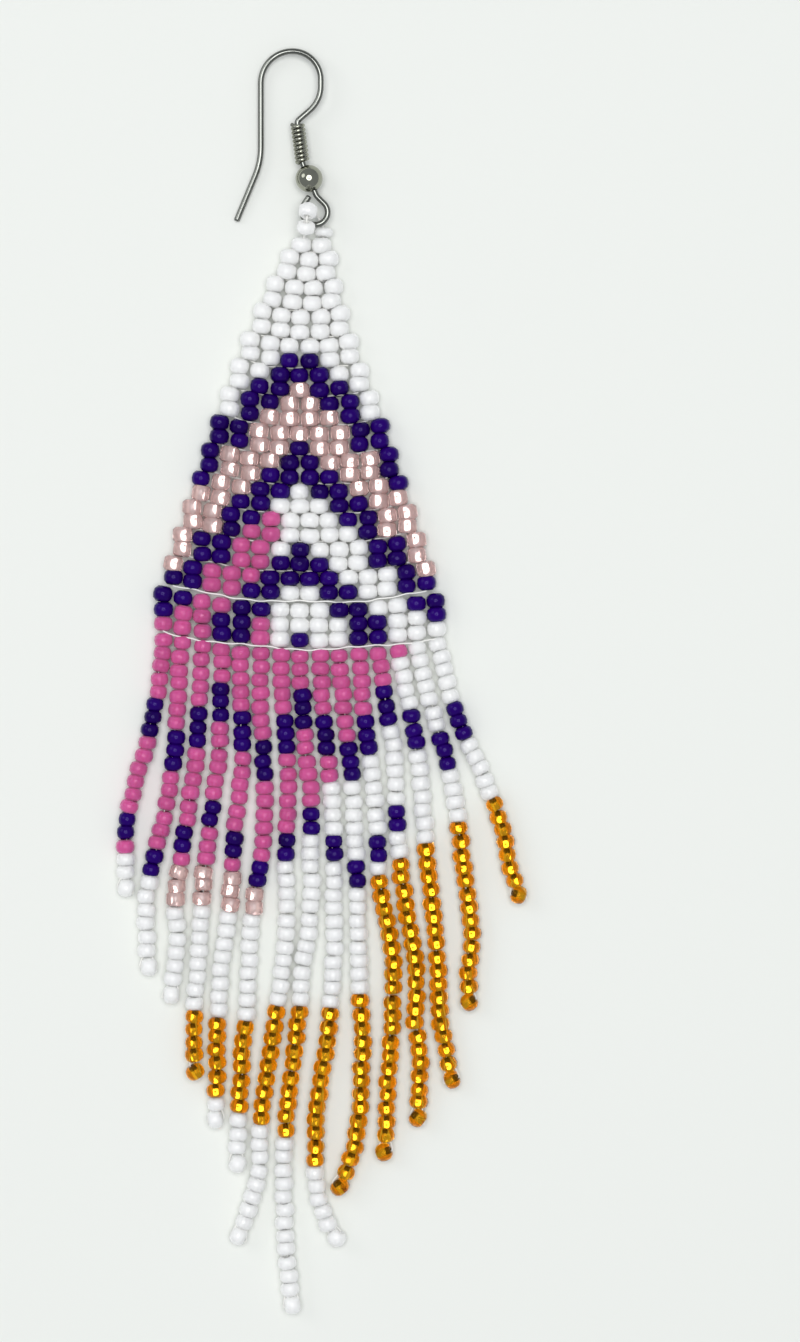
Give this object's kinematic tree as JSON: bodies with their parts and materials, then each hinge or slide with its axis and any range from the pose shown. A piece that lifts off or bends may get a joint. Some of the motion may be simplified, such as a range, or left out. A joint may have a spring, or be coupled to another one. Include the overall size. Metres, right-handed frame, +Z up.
{
  "type": "beaded fringe earring",
  "caption": "Lying drop earring: a bent ear wire with coil and ball, a beaded loop, a stepped triangular bead panel and a long fringe of glass bead strands.",
  "frame": {"origin": "on the table, under the middle of the lying earring", "axes": "+Z up from the table, out of the earring's face; +Y along the earring towards the bow of the ear wire; +X to the right, seen from above with the bow at the top"},
  "size_m": [0.0456, 0.1388, 0.0043],
  "materials": {
    "hook_steel": "polished round wire",
    "coil_steel": "polished fine wire",
    "ball_steel": "polished",
    "white_beads": "opaque gloss glass",
    "rose_beads": "opaque gloss glass",
    "violet_beads": "opaque gloss glass",
    "blush_beads": "silver-lined clear glass",
    "amber_beads": "silver-lined clear glass",
    "white_thread": "twisted nylon beading thread"
  },
  "bodies": {
    "root": {"ear_hook": "hook_steel", "hook_coil": "coil_steel", "hook_ball": "ball_steel", "bead_loop": "white_beads", "bead_panel": "white_beads", "fringe_strand_01": "rose_beads", "fringe_strand_02": "rose_beads", "fringe_strand_03": "rose_beads", "fringe_strand_04": "rose_beads", "fringe_strand_05": "rose_beads", "fringe_strand_06": "blush_beads", "fringe_strand_07": "white_beads", "fringe_strand_08": "white_beads", "fringe_strand_09": "amber_beads", "fringe_strand_10": "amber_beads", "fringe_strand_11": "amber_beads", "fringe_strand_12": "amber_beads", "fringe_strand_13": "amber_beads", "fringe_strand_14": "white_beads", "fringe_strand_15": "white_beads"}
  },
  "joints": []
}
